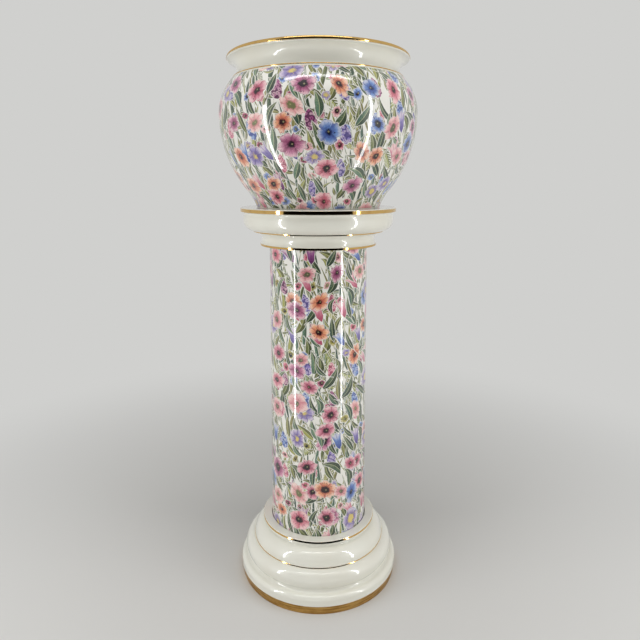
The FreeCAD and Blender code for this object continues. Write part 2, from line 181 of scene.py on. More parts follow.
class StudioSettings(bpy.types.PropertyGroup):
    floor: colour_setting("Floor", "Plain pale floor", (214, 213, 210))
    backdrop: colour_setting("Backdrop", "Plain pale background", (208, 208, 206))
    lens: number_setting("Lens", "Focal length for a 36 mm frame", 31.5, 1)
    camera_height: length_setting("Camera height", "Height of the camera over the floor", 0.7145)
    camera_distance: length_setting("Camera distance", "From the camera to the stand's axis", 0.9673)
    camera_aside: length_setting("Camera aside", "How far the camera stands to the right", 0.003)
    camera_pitch: angle_setting("Camera pitch", "How far the camera looks down", 10.42)
    camera_shift: bpy.props.FloatProperty(
        name="Camera shift", description="How far the picture is shifted up", default=-0.0547, min=-1, max=1)
    card: colour_setting("Card", "Black card behind the camera", (10, 10, 11))
    card_width: length_setting("Black card width", "Width of the black card behind the camera", 2.8)
    strip_distance: length_setting("Strip distance", "From the stand's axis to each strip light", 0.78)
    strip_angle: angle_setting("Strip angle", "From the camera's side round to each strip light", 53.5)
    strip_width: length_setting("Strip width", "Width of a strip light", 0.05)
    strip_height: length_setting("Strip height", "Height of a strip light", 1.1)
    strip_low_top: length_setting("Left strip drop", "How much lower the left strip light ends", 0.22)
    strip_bottom: length_setting("Strip bottom", "Height of a strip light's lower end", 0.02)
    strip_power: number_setting("Strip power", "Watts of a strip light", 2.4)
    side_power: number_setting("Side power", "Watts of a broad side light", 9.8)
    front_power: number_setting("Front power", "Watts of the narrow light over the camera", 4)
    top_power: number_setting("Top power", "Watts of the overhead light", 7)
    world: share_setting("World", "Strength of the light from all round", 0.42)


# ---- outlines and turned meshes

def seam_outline(node):
    """The outline of a turned CAD piece as radius and height, read where its faces start, at angle zero.

    Level faces have no edge there, so chains whose ends are at one height are joined, and a loose end
    runs level to the axis.
    """
    mesh = frame["nodes"][node].data
    places = {}
    for vertex in mesh.vertices:
        x, y, z = vertex.co
        if x > 0 and abs(y) < TINY:
            places[vertex.index] = (round(x, 6), round(z, 6))
    beside = {}
    for edge in mesh.edges:
        ends = [places.get(index) for index in edge.vertices]
        if None not in ends and ends[0] != ends[1]:
            beside.setdefault(ends[0], set()).add(ends[1])
            beside.setdefault(ends[1], set()).add(ends[0])
    chains = []
    waiting = set(beside)
    while waiting:
        loose = [place for place in sorted(waiting) if len(beside[place]) == 1]
        place = loose[0] if loose else min(waiting)
        chain = []
        while place is not None:
            chain.append(place)
            waiting.discard(place)
            onward = sorted(other for other in beside[place] if other in waiting)
            place = onward[0] if onward else None
        chains.append(chain)
    ring = len(chains) == 1 and chains[0][0] in beside[chains[0][-1]]
    return anticlockwise(chains[0] if ring else joined(chains))


def joined(chains):
    """One outline from chains, ended on the axis where it has loose ends."""
    line = chains.pop(0)
    for _ in range(2):
        onward = True
        while onward:
            onward = None
            for chain in chains:
                for way in (chain, chain[::-1]):
                    if onward is None and abs(way[0][1] - line[-1][1]) < NEAR:
                        onward = (chain, way)
            if onward:
                chains.remove(onward[0])
                line = line + onward[1]
        line = line[::-1]
    if chains:
        raise RuntimeError("an outline has a piece that meets nothing")
    if abs(line[0][1] - line[-1][1]) > NEAR:
        line = [(0.0, line[0][1])] + line + [(0.0, line[-1][1])]
    return line


def anticlockwise(line):
    area = sum(a[0] * b[1] - b[0] * a[1] for a, b in zip(line, line[1:] + line[:1]))
    return line if area > 0 else line[::-1]


class Outline:
    """Half the section of a turned piece, with its sharp corners rounded, and lengths along it.

    Its sheen says whether it shades across its flat sides as if they were domed, and how many degrees
    it shades as if leant upwards.
    """

    def __init__(self, node, rounding, sheen=PLAIN_SHEEN):
        line = seam_outline(node)
        self.node = node
        self.domed, self.lean = sheen
        self.closed = line[0][0] > NEAR
        self.line = self.rounded(line, rounding)
        self.along = [0.0]
        for a, b in zip(self.line, self.line[1:]):
            self.along.append(self.along[-1] + math.dist(a, b))
        self.whole = self.along[-1] + (math.dist(self.line[-1], self.line[0]) if self.closed else 0.0)
        self.origin = 0.0
        self.print_ends = None

    def rounded(self, line, rounding):
        """The same outline with small arcs for its sharp corners, each no longer than its sides allow."""
        out = []
        for number, corner in enumerate(line):
            here = Vector(corner)
            before = Vector(line[number - 1]) - here
            after = Vector(line[(number + 1) % len(line)]) - here
            at_axis = not self.closed and number in (0, len(line) - 1)
            turn = 0.0 if at_axis else math.pi - before.angle(after)
            if turn < SHARP_TURN or not rounding:
                out.append(corner)
                continue
            reach = min(rounding * math.tan(turn / 2), SIDE_SHARE * before.length, SIDE_SHARE * after.length)
            start = here + before.normalized() * reach
            end = here + after.normalized() * reach
            for step in range(ARC_STEPS + 1):
                share = step / ARC_STEPS
                point = start * (1 - share) ** 2 + here * 2 * share * (1 - share) + end * share ** 2
                out.append((point.x, point.y))
        return out

    def sides(self):
        """Pairs of neighbouring points, with the lengths along the outline at both."""
        pairs = list(zip(self.line, self.line[1:], self.along, self.along[1:]))
        if self.closed:
            pairs.append((self.line[-1], self.line[0], self.along[-1], self.whole))
        return pairs

    def part_at(self, lengths):
        """Add a point to the outline at each of these lengths along it."""
        for length in lengths:
            for number, (a, b, low, high) in enumerate(self.sides()):
                if low + TINY < length < high - TINY:
                    share = (length - low) / (high - low)
                    point = tuple(start + share * (end - start) for start, end in zip(a, b))
                    self.line.insert(number + 1, point)
                    self.along.insert(number + 1, length)
                    break

    def outermost(self, height):
        """Radius, and length along the outline, where its outer side passes a height."""
        found = []
        for a, b, low, high in self.sides():
            if min(a[1], b[1]) <= height <= max(a[1], b[1]) and a[1] != b[1]:
                share = (height - a[1]) / (b[1] - a[1])
                found.append((a[0] + share * (b[0] - a[0]), low + share * (high - low)))
        return max(found)

    def normals(self):
        """Outward normals of its points, each led by the longer side there unless it is domed."""
        totals = [Vector((0.0, 0.0)) for _ in self.line]
        for number, (a, b, _, _) in enumerate(self.sides()):
            outward = Vector((b[1] - a[1], a[0] - b[0]))
            if self.domed:
                outward.normalize()
            outward.rotate(Matrix.Rotation(math.radians(self.lean), 2))
            totals[number] += outward
            totals[(number + 1) % len(self.line)] += outward
        return [total.normalized() for total in totals]

    def unrolled(self, corners, turns):
        """Where each corner lies on the flat: most of the square is the printed side's, in one strip, or
        in two half turns above each other where that side is much wider than high."""
        if not self.print_ends:
            return [(turn / turns, length / self.whole) for face in corners for turn, length in face]
        low, high = self.print_ends
        wide = TURN * max(self.line)[0]
        halves = 2 if wide > 2 * (high - low) else 1
        strip = PRINT_SHARE / halves
        spots = []
        for face in corners:
            printed = all(low - NEAR <= length <= high + NEAR for _, length in face)
            half = min(turn for turn, _ in face) * halves // turns
            for turn, length in face:
                if printed:
                    up = (length - low) / (high - low)
                    spots.append((turn * halves / turns - half, strip * (half + up) - BAKE_GAP * up))
                else:
                    spots.append((turn / turns, PRINT_SHARE + (1 - PRINT_SHARE) * length / self.whole))
        return spots

    def turned(self, name, material, slot):
        """The piece turned from this outline, which rides where its CAD node does and stands for it.

        Its map "print" holds the turn round the axis, and the length along the outline, in metres from
        the origin.
        """
        turns = bpy.context.scene.turning.turns
        verts, normals, rings = [], [], []
        for (radius, height), outward in zip(self.line, self.normals()):
            if radius < NEAR:
                rings.append([len(verts)] * turns)
                verts.append((0, 0, height))
                normals.append((0, 0, math.copysign(1, outward.y)))
                continue
            rings.append(range(len(verts), len(verts) + turns))
            for turn in range(turns):
                across, deep = math.cos(TURN * turn / turns), math.sin(TURN * turn / turns)
                verts.append((radius * across, radius * deep, height))
                normals.append((outward.x * across, outward.x * deep, outward.y))
        faces, corners = [], []
        for number, (_, _, low, high) in enumerate(self.sides()):
            lower, upper = rings[number], rings[(number + 1) % len(rings)]
            for turn in range(turns):
                beyond = (turn + 1) % turns
                face = {}
                for vertex, place in (
                        (lower[turn], (turn, low)), (lower[beyond], (turn + 1, low)),
                        (upper[beyond], (turn + 1, high)), (upper[turn], (turn, high))):
                    face.setdefault(vertex, place)
                faces.append(list(face))
                corners.append(list(face.values()))
        mesh = bpy.data.meshes.new(name)
        mesh.from_pydata(verts, [], faces)
        printed = mesh.uv_layers.new(name="print")
        printed.uv.foreach_set("vector", [
            value for face in corners for turn, length in face
            for value in (turn / turns, length - self.origin)])
        baked = mesh.uv_layers.new(name="OFBake")
        baked.uv.foreach_set("vector", [value for spot in self.unrolled(corners, turns) for value in spot])
        mesh.polygons.foreach_set("use_smooth", [True] * len(faces))
        mesh.normals_split_custom_set_from_vertices(normals)
        piece = bpy.data.objects.new(name, mesh)
        bpy.context.scene.collection.objects.link(piece)
        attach(piece, frame["nodes"][self.node]["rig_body"])
        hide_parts(self.node)
        mesh.materials.append(material)


# ---- shader maths

class Value:
    """A shader's socket, or a plain number, in sums that add Math nodes."""

    def __init__(self, shader, socket):
        self.shader = shader
        self.socket = socket

    def __add__(self, other):
        return self.shader.maths("ADD", self, other)

    __radd__ = __add__

    def __sub__(self, other):
        return self.shader.maths("SUBTRACT", self, other)

    def __rsub__(self, other):
        return self.shader.maths("SUBTRACT", other, self)

    def __mul__(self, other):
        return self.shader.maths("MULTIPLY", self, other)

    __rmul__ = __mul__

    def __truediv__(self, other):
        return self.shader.maths("DIVIDE", self, other)

    def __rtruediv__(self, other):
        return self.shader.maths("DIVIDE", other, self)

    def __pow__(self, other):
        return self.shader.maths("POWER", self, other)

    def __abs__(self):
        return self.shader.maths("ABSOLUTE", self)


class Shader:
    """A node tree to build in: a new material's, with its Principled shader, or one that is given."""

    def __init__(self, name="", tree=None):
        if tree is None:
            self.material = bpy.data.materials.new(name)
            self.material.use_nodes = True
            tree = self.material.node_tree
        self.tree = tree
        self.surface = tree.nodes.get("Principled BSDF")

    def node(self, kind, settings=None, **sockets):
        """A node of a type, with its settings, then the values or links of its sockets."""
        made = self.tree.nodes.new(kind)
        for name, setting in (settings or {}).items():
            if name == "stops":
                self.set_stops(made.color_ramp, setting)
            else:
                setattr(made, name, setting)
        self.fill(made, sockets)
        return made

    def fill(self, made, sockets):
        """Feed sockets by name, with _ for a space, or by number after a _."""
        for name, value in sockets.items():
            self.feed(made.inputs[int(name[1:]) if name[0] == "_" else name.replace("_", " ")], value)

    def set_surface(self, **sockets):
        self.fill(self.surface, sockets)

    def feed(self, socket, value):
        if isinstance(value, Value):
            value = value.socket
        if isinstance(value, bpy.types.NodeSocket):
            self.tree.links.new(value, socket)
        elif isinstance(value, (tuple, list)) and len(value) == 3 and socket.type == "RGBA":
            socket.default_value = (*value, 1)
        else:
            socket.default_value = value

    def set_stops(self, ramp, stops):
        """Stops are colours at rising places from 0, and each holds up to the next."""
        ramp.interpolation = "CONSTANT"
        ramp.elements.remove(ramp.elements[1])
        for place, shade in stops:
            stop = ramp.elements.new(place) if place else ramp.elements[0]
            stop.color = (*shade, 1)

    def maths(self, operation, a, b=None, c=None):
        sockets = {"_%d" % place: term for place, term in enumerate((a, b, c)) if term is not None}
        made = self.node("ShaderNodeMath", {"operation": operation}, **sockets)
        return Value(self, made.outputs[0])

    def least(self, a, b):
        return self.maths("MINIMUM", a, b)

    def most(self, a, b):
        return self.maths("MAXIMUM", a, b)

    def wave(self, a):
        return self.maths("SINE", a)

    def floor(self, a):
        return self.maths("FLOOR", a)

    def step(self, value, low, high):
        """0 up to low, 1 from high, smooth between; low may be the greater."""
        made = self.node(
            "ShaderNodeMapRange", {"interpolation_type": "SMOOTHSTEP", "clamp": False},
            Value=value, From_Min=low, From_Max=high, To_Min=0.0, To_Max=1.0)
        return Value(self, made.outputs[0])

    def blend(self, factor, a, b):
        return self.node("ShaderNodeMix", {"data_type": "RGBA"}, Factor=factor, _6=a, _7=b).outputs[2]

    def shade_of(self, pick, shades):
        """One of several colours, picked by a value from 0 to 1."""
        stops = [(number / len(shades), shade) for number, shade in enumerate(shades)]
        return self.node("ShaderNodeValToRGB", {"stops": stops}, Fac=pick).outputs[0]

    def noise(self, vector, scale, detail=2.0, roughness=0.5):
        made = self.node(
            "ShaderNodeTexNoise", Vector=vector, Scale=scale, Detail=detail, Roughness=roughness)
        return Value(self, made.outputs["Fac"])

    def parts(self, vector):
        made = self.node("ShaderNodeSeparateXYZ", Vector=vector)
        return [Value(self, output) for output in made.outputs]

    def vector(self, x, y=0.0, z=0.0):
        return self.node("ShaderNodeCombineXYZ", X=x, Y=y, Z=z).outputs[0]

    def channels(self, colour):
        made = self.node("ShaderNodeSeparateColor", Color=colour)
        return [Value(self, output) for output in made.outputs]

    def chances(self, x, y, seed):
        """Four even random numbers for a cell."""
        number = self.maths("MULTIPLY_ADD", y, 173.0, x) + seed * 29.0
        made = self.node("ShaderNodeTexWhiteNoise", {"noise_dimensions": "1D"}, W=number)
        return [Value(self, made.outputs["Value"])] + self.channels(made.outputs["Color"])

    def object_place(self):
        return self.node("ShaderNodeTexCoord").outputs["Object"]

    def bump(self, height, strength, distance):
        made = self.node("ShaderNodeBump", Height=height, Strength=strength, Distance=distance)
        self.set_surface(Normal=made.outputs[0])


# ---- the flowered print

EYES = paints(
    (112, 112, 86), (48, 14, 36), (58, 16, 28), (18, 20, 50),
    (226, 204, 108), (136, 138, 96), (44, 12, 40), (52, 12, 34))

# A flower's shades: its petals', then their hearts', then its eye's where it has one.
OPEN_FLOWERS = (
    paints((240, 190, 188), (232, 158, 178), (246, 182, 124), (118, 164, 222),
           (180, 166, 216), (246, 208, 202), (224, 144, 182), (240, 172, 184)),
    paints((214, 116, 134), (186, 56, 98), (202, 82, 50), (52, 86, 168),
           (104, 80, 160), (222, 128, 136), (150, 42, 104), (204, 70, 104)),
    EYES)
STARS = (
    paints((140, 178, 232), (238, 150, 172), (206, 196, 96), (172, 158, 216), (246, 206, 206), (216, 96, 136)),
    paints((72, 114, 196), (200, 60, 100), (150, 146, 52), (108, 86, 170), (220, 130, 140), (130, 28, 82)),
    EYES)
BELLS = (
    paints((164, 150, 210), (232, 162, 178), (112, 156, 218), (186, 112, 176)),
    paints((98, 78, 160), (192, 74, 112), (48, 82, 164), (118, 40, 112)))
FLORETS = (
    paints((176, 84, 146), (150, 132, 206), (228, 128, 160), (120, 160, 220)),
    paints((96, 28, 84), (78, 60, 146), (170, 46, 90), (48, 78, 160)))
OLIVES = paints((138, 140, 56), (174, 174, 72), (106, 118, 52), (156, 150, 82))
TEALS = paints((72, 114, 100), (48, 88, 80), (98, 138, 116), (60, 96, 72))
FERNS = paints((176, 182, 84), (140, 158, 92), (196, 192, 112))
SAGES = paints((186, 190, 166), (172, 180, 148), (196, 192, 172), (166, 178, 166))
DARK_LEAF = paint(32, 52, 44)
LIGHT_RIB = paint(216, 218, 172)
BLUSH = paint(252, 240, 232)
STAMENS = paint(204, 198, 140)


class Cloth:
    """The printed field: the turn round the axis, and in millimetres the length along the outline and
    the radius there.  The pot's lengths start at its belly, and the column's at COLUMN_START.  Its colour
    is the print so far."""

    def __init__(self, shader, pot, column_radius):
        self.shader = shader
        self.pot = pot
        self.column_radius = column_radius
        self.ground = bpy.context.scene.glaze.ground[:]
        self.colour = self.ground
        place = shader.node("ShaderNodeUVMap", {"uv_map": "print"}).outputs[0]
        self.turn, along, _ = shader.parts(place)
        self.along = along * (1 / MM)
        self.on_column = shader.maths("GREATER_THAN", self.along, COLUMN_START / MM / 2)
        self.lanes_round = TURN * (POT_LANES_RADIUS + self.on_column * (column_radius - POT_LANES_RADIUS))
        self.radius = self.radius_at(self.along)
        place = shader.object_place()
        self.wobble = shader.noise(place, 200.0, 2.0) - 0.5
        self.grain = shader.noise(place, 550.0, 3.0, 0.6)
        dots = shader.node("ShaderNodeTexVoronoi", Vector=place, Scale=230.0)
        self.dot = Value(shader, dots.outputs["Distance"])
        self.dot_chance = shader.channels(dots.outputs["Color"])[0]

    def radius_at(self, along):
        """The pot's outline is two arcs that meet upright at the belly, and the column is straight."""
        belly, below, above = self.pot
        reach = below + self.shader.maths("GREATER_THAN", along, 0.0) * (above - below)
        pot = belly - reach * (1.0 - self.shader.maths("COSINE", along / reach))
        return pot + self.on_column * (self.column_radius - pot)

    def rows(self, width, height, seed, jitter):
        """Rows of cells, each moved round by chance: the place in a cell, the cell's chances, and its seed."""
        s = self.shader
        row = s.floor(self.along / height)
        middle = (row + 0.5) * height
        count = s.maths("ROUND", self.radius_at(middle) * (TURN / width))
        across = self.turn * count + s.chances(row, 0.37, seed + ROW_SEED)[0]
        column = s.floor(across)
        chances = s.chances(s.maths("FLOORED_MODULO", column, count), row, seed)
        x = (across - column - 0.5) * (self.radius * TURN / count) + (chances[1] - 0.5) * jitter
        y = self.along - middle + (chances[2] - 0.5) * jitter
        return x, y, chances, seed

    def lanes(self, width, height, seed, jitter=0.0, lean=0.0):
        """Upright lanes, which may lean round the piece, each cut into cells at heights of its own."""
        s = self.shader
        count = s.maths("ROUND", self.lanes_round / width)
        cell = self.lanes_round / count
        across = self.turn * count
        if lean:
            across = across + self.along * math.tan(math.radians(lean)) / cell
        column = s.floor(across)
        lane = s.maths("FLOORED_MODULO", column, count)
        upward = self.along / height + s.chances(lane, 0.61, seed + ROW_SEED)[0] * 7.0
        row = s.floor(upward)
        chances = s.chances(lane, row, seed)
        x = (across - column - 0.5) * cell
        y = (upward - row - 0.5) * height
        if jitter:
            x = x + (chances[1] - 0.5) * jitter
            y = y + (chances[2] - 0.5) * jitter
        return x, y, chances, seed

    def rotated(self, x, y, angle):
        across, up = self.shader.maths("COSINE", angle), self.shader.wave(angle)
        return x * across - y * up, self.shader.maths("MULTIPLY_ADD", x, up, y * across)

    def opened(self, cell):
        """A cell's place, chances and seed, and four more chances for a motif's details."""
        x, y, chances, seed = cell
        return x, y, chances, seed, self.shader.chances(chances[0] * 91.0, chances[1], seed + SPARE_SEED)

    def lay(self, inside, chances, share, colour, halo=0.9):
        """Put a motif over the print so far, in a share of its cells, with a fine pale line left round it."""
        s = self.shader
        present = s.maths("LESS_THAN", chances[0], share)
        gap = s.step(inside, -halo - 0.3, -halo + 0.3) * present * 0.8
        self.colour = s.blend(
            s.step(inside, 0.0, 0.45) * present, s.blend(gap, self.colour, self.ground), colour)


def blossom(cloth, cell, share, size, spread, petals, shades):
    """Open flowers seen a little from the side: ruffled petals that overlap, veins, and a dark heart."""
    s = cloth.shader
    x, y, chance, seed, spare = cloth.opened(cell)
    x, y = cloth.rotated(x, y, chance[1] * 6.283)
    y = y * (1.0 + spare[1] * 0.5)
    radius = size + (chance[3] - 0.5) * spread
    reach = s.maths("SQRT", x * x + y * y)
    turn = s.maths("ARCTAN2", y + 1.2, x)
    number = s.maths("ROUND", petals[0] + spare[0] * (petals[1] - petals[0]))
    phase = turn * number / TURN + 0.5
    petal = s.floor(phase)
    within = phase - petal
    own = s.chances(s.maths("FLOORED_MODULO", petal, number), chance[0] * 37.0, seed + PETAL_SEED)
    lobe = s.wave(within * math.pi)
    ruffle = s.wave(turn * number * 3.0 + spare[3] * 6.0)
    edge = radius * (0.62 + 0.20 * own[0] + 0.22 * lobe ** 0.5 + 0.03 * ruffle) + cloth.wobble * 8.0
    inside = edge - reach
    depth = reach / edge
    outer, heart, eye = (s.shade_of(spare[2], tones) for tones in shades)
    veins = s.wave(turn * number * 5.0 + cloth.wobble * 9.0) * 0.5 + 0.5
    glow = s.step(depth + veins * 0.26 + cloth.wobble * 0.9 + own[1] * 0.3, 1.18, 0.30)
    colour = s.blend(s.step(depth + cloth.grain * 0.4 - own[2] * 0.2, 0.62, 1.05) * 0.55, outer, BLUSH)
    colour = s.blend(glow, colour, heart)
    streak = s.step(veins, 0.78, 0.97) * s.step(depth, 1.0, 0.5) * 0.75
    fold = s.step(within, 0.58, 0.98) * s.step(depth, 0.15, 0.6) * 0.75
    crease = s.step(lobe, 0.22, 0.08) * 0.8
    line = s.step(inside, 1.1, 0.45) * 0.9
    colour = s.blend(s.most(s.most(fold, crease), s.most(streak, line)), colour, heart)
    blot = radius * (0.15 + 0.2 * spare[3]) + cloth.wobble * 8.0 + veins * 2.6
    dots = s.step(abs(reach - blot * 1.5), 1.4, 0.4) * s.step(cloth.dot, 0.45, 0.3)
    colour = s.blend(s.most(dots * 0.8, s.step(blot - reach, 0.0, 1.0)), colour, eye)
    colour = s.blend(s.step(abs(x + 1.4) + abs(y), 2.4, 1.0) * 0.55, colour, STAMENS)
    cloth.lay(inside, chance, share, colour)


def bell(cloth, cell, share, size, shades):
    """Bellflowers seen from the side: a round-shouldered cup with a flared, lobed mouth and ribs."""
    s = cloth.shader
    x, y, chance, _, spare = cloth.opened(cell)
    x, y = cloth.rotated(x, y, (chance[1] - 0.5) * 1.6)
    length = size * (0.85 + 0.3 * chance[3])
    up = y / length
    flare = s.most(up, 0.0)
    cup = length * (0.40 + 0.04 * up + 0.36 * flare * flare) * s.step(up, -1.05, -0.35) ** 0.5
    lobes = abs(s.wave(x / length * 4.6 + 1.57)) * 0.3
    inside = s.least(cup + cloth.wobble * 2.5 - abs(x), (0.70 + lobes - up) * length)
    outer, heart = (s.shade_of(spare[2], tones) for tones in shades)
    ribs = s.step(abs(s.wave(x / (cup + 0.5) * 4.2)), 0.42, 0.0) * 0.6
    colour = s.blend(s.step(up + lobes + cloth.grain * 0.5, 0.5, 1.1) * 0.6, outer, BLUSH)
    colour = s.blend(s.step(up + cloth.wobble + cloth.grain * 0.8, 1.1, -0.5), colour, heart)
    colour = s.blend(s.most(ribs, s.step(inside, 1.0, 0.35) * 0.8), colour, heart)
    cloth.lay(inside, chance, share, colour)


def spray(cloth, cell, share, size, shades):
    """Upright sprays of small round florets, each with a dark eye."""
    s = cloth.shader
    x, y, chance, _, spare = cloth.opened(cell)
    x, y = cloth.rotated(x, y, (chance[1] - 0.5) * 0.9)
    up = y / size
    wide = size * 0.5 * (1.0 - up * 0.35)
    inside = (1.0 - (x / wide) ** 2 - up * up + cloth.wobble) * 6.0
    outer, heart = (s.shade_of(spare[2], tones) for tones in shades)
    colour = s.blend(cloth.dot_chance * 0.55, outer, BLUSH)
    colour = s.blend(s.step(cloth.dot, 0.30, 0.12), colour, heart)
    colour = s.blend(s.step(cloth.dot, 0.52, 0.64) * 0.85, colour, heart)
    cloth.lay(inside, chance, share, colour)


def leaf(cloth, cell, share, length, breadth, shades, sweep, cuts=0.0):
    """Pointed leaves that curve: two tones, a pale rib, side veins and a dark edge; cuts make a fern."""
    s = cloth.shader
    x, y, chance, _, spare = cloth.opened(cell)
    x, y = cloth.rotated(x, y, (chance[1] - 0.5) * sweep)
    reach = length * (0.75 + 0.5 * chance[3])
    up = y / reach
    x = x + (up * up - 0.4) * (spare[0] - 0.5) * (breadth * 3.4)
    wide = breadth * (0.7 + 0.5 * spare[1]) * (1.0 - up * up) ** 0.9 * (1.0 - 0.3 * up)
    side = s.wave((y + abs(x) * 1.3) * 1.25)
    if cuts:
        wide = wide * (1.0 - cuts * s.step(side, -0.2, 0.7))
    inside = wide + cloth.wobble * 1.6 - abs(x)
    colour = s.shade_of(spare[2], shades)
    colour = s.blend(s.step(cloth.grain + up * 0.2, 0.35, 0.8) * 0.35, colour, LIGHT_RIB)
    half = s.step(x, -0.5, 0.5) * (0.45 + 0.3 * cloth.grain)
    line = s.step(inside, 0.9, 0.3) * 0.85
    colour = s.blend(s.most(half, line), colour, DARK_LEAF)
    ribs = s.most(s.step(abs(side), 0.30, 0.06) * 0.4, s.step(abs(x), 0.55, 0.2) * 0.75)
    colour = s.blend(ribs * s.step(inside, 0.3, 1.0), colour, LIGHT_RIB)
    cloth.lay(inside, chance, share, colour)


def blades(cloth, width, height, lean, seed, share, breadth, shades, edge=0.7):
    """Long grass-like blades that curve as they rise."""
    s = cloth.shader
    x, y, chance, _ = cloth.lanes(width, height, seed, lean=lean)
    up = y / (height * 0.5)
    x = x + (up * up - 0.45) * (chance[1] - 0.5) * (width * 0.9) + up * (chance[3] - 0.5) * (width * 0.5)
    wide = breadth * (0.55 + 0.8 * chance[2]) * (1.0 - up * up) ** 0.6 * (1.0 - 0.42 * up)
    inside = wide - abs(x)
    colour = s.shade_of(chance[2], shades)
    colour = s.blend(s.step(cloth.grain, 0.4, 0.7) * 0.3, colour, LIGHT_RIB)
    half = s.step(x, -0.2, 0.4) * 0.4
    colour = s.blend(s.most(half, s.step(inside, 0.6, 0.1) * edge), colour, DARK_LEAF)
    cloth.lay(inside, chance, share, colour, halo=0.8)


def flower_print(cloth):
    """The whole print, from the faint sprigs at the back to the open flowers in front.

    A motif's cells give their width and height in millimetres, a seed, and how far one may stray.
    """
    rows, lanes = cloth.rows, cloth.lanes
    blades(cloth, 13, 52, lean=14, seed=11.0, share=0.6, breadth=2.2, shades=SAGES, edge=0.3)
    leaf(cloth, rows(22, 25, 12.0, 6), share=0.6, length=11, breadth=3.4, shades=SAGES, sweep=3.6)
    blades(cloth, 16, 74, lean=-13, seed=21.0, share=0.7, breadth=2.8, shades=OLIVES)
    blades(cloth, 17, 82, lean=6, seed=22.0, share=0.8, breadth=3.2, shades=TEALS)
    leaf(cloth, lanes(34, 40, 34.0, 6), share=0.6, length=18, breadth=8.0, shades=FERNS, sweep=2.6, cuts=0.75)
    blades(cloth, 14, 62, lean=21, seed=23.0, share=0.55, breadth=1.6, shades=OLIVES)
    leaf(cloth, rows(19, 20, 35.0, 5), share=0.62, length=9, breadth=2.7, shades=OLIVES, sweep=5.0)
    leaf(cloth, rows(31, 37, 31.0, 6), share=0.76, length=19, breadth=5.0, shades=OLIVES, sweep=2.2)
    blossom(cloth, rows(24, 23, 41.0, 5), share=0.40, size=8.0, spread=3.0, petals=(5, 6), shades=STARS)
    spray(cloth, lanes(44, 54, 61.0, 8), share=0.5, size=15, shades=FLORETS)
    leaf(cloth, lanes(31, 40, 32.0, 5), share=0.8, length=19, breadth=5.4, shades=TEALS, sweep=2.1)
    bell(cloth, rows(42, 45, 51.0, 6), share=0.5, size=14.5, shades=BELLS)
    blossom(cloth, rows(47, 48, 42.0, 7), share=0.52, size=17, spread=5.0, petals=(6, 8), shades=OPEN_FLOWERS)
    leaf(cloth, lanes(52, 60, 33.0, 8), share=0.45, length=19, breadth=4.6, shades=TEALS, sweep=1.8)
    blossom(
        cloth, lanes(50, 54, 43.0, 7), share=0.62, size=19.5, spread=4.0, petals=(4, 6), shades=OPEN_FLOWERS)
    return cloth.colour


# ---- materials

def glazed(shader, colour):
    """A glossy glaze over a colour: a clear coat with the faint ripple of fired glaze."""
    shader.set_surface(
        Base_Color=colour, Roughness=0.32, Specular_IOR_Level=0.35, Coat_Weight=1.0,
        Coat_Roughness=bpy.context.scene.glaze.roughness, Coat_IOR=1.52)
    shader.bump(shader.noise(shader.object_place(), 13.0, 1.0), strength=0.02, distance=0.004)
    return shader.material


def glaze_colour(shader, base):
    """A glaze's colour, with the tint of thick glaze in soft clouds at random, and a few pinholes and specks.
    """
    settings = bpy.context.scene.glaze
    place = shader.object_place()
    cloud = shader.step(shader.noise(place, 9.0, 3.0), 0.42, 0.72)
    colour = shader.blend(cloud * 0.30, base, settings.pooled[:])
    fleck = shader.node("ShaderNodeTexVoronoi", Vector=place, Scale=95.0)
    rare = shader.parts(fleck.outputs["Color"])[0]
    speck = shader.step(Value(shader, fleck.outputs["Distance"]), 0.055, 0.03) * shader.step(rare, 0.955, 0.96)
    return shader.blend(speck * 0.5, colour, settings.speck[:])


def plain_glaze():
    shader = Shader("ivory_glaze")
    return glazed(shader, glaze_colour(shader, bpy.context.scene.glaze.ivory[:]))


def printed_glaze(pot_outline, column_outline):
    """Glaze over the flowered print, whose field ends on the pot under the fine gold line."""
    settings = bpy.context.scene.glaze
    shader = Shader("printed_glaze")
    belly, belly_height = max(pot_outline.line)

    def arc(height):
        """Radius of the arc that starts upright at the belly and passes the outline at a height."""
        run = belly - pot_outline.outermost(height)[0]
        return (run ** 2 + (height - belly_height) ** 2) / (2 * run) / MM

    column_radius = column_outline.outermost((COLUMN_FOOT + COLUMN_TOP) / 2)[0] / MM
    cloth = Cloth(shader, (belly / MM, arc(POT_PRINT_LOW_ARC), arc(POT_PRINT_TOP)), column_radius)
    printed = flower_print(cloth)
    printed = shader.node("ShaderNodeGamma", Color=printed, Gamma=settings.print_depth).outputs[0]
    printed = shader.node(
        "ShaderNodeHueSaturation", Color=printed, Saturation=settings.print_strength).outputs[0]
    mask = 0.0
    for outline in (pot_outline, column_outline):
        low, high = ((length - outline.origin) / MM for length in outline.print_ends)
        mask = mask + shader.step(cloth.along, low, low + 0.4) * shader.step(cloth.along, high, high - 0.4)
    ground = glaze_colour(shader, settings.ivory[:])
    return glazed(shader, shader.blend(mask, ground, printed))


def bright_gold():
    """Burnished gold: a mirror with thin, warmer places."""
    settings = bpy.context.scene.gold
    shader = Shader("bright_gold")
    thin = shader.step(shader.noise(shader.object_place(), 60.0, 3.0), 0.5, 0.75)
    shader.set_surface(
        Base_Color=shader.blend(thin * 0.6, settings.bright[:], settings.worn[:]), Metallic=1.0,
        Roughness=0.07 + thin * 0.06)
    return shader.material


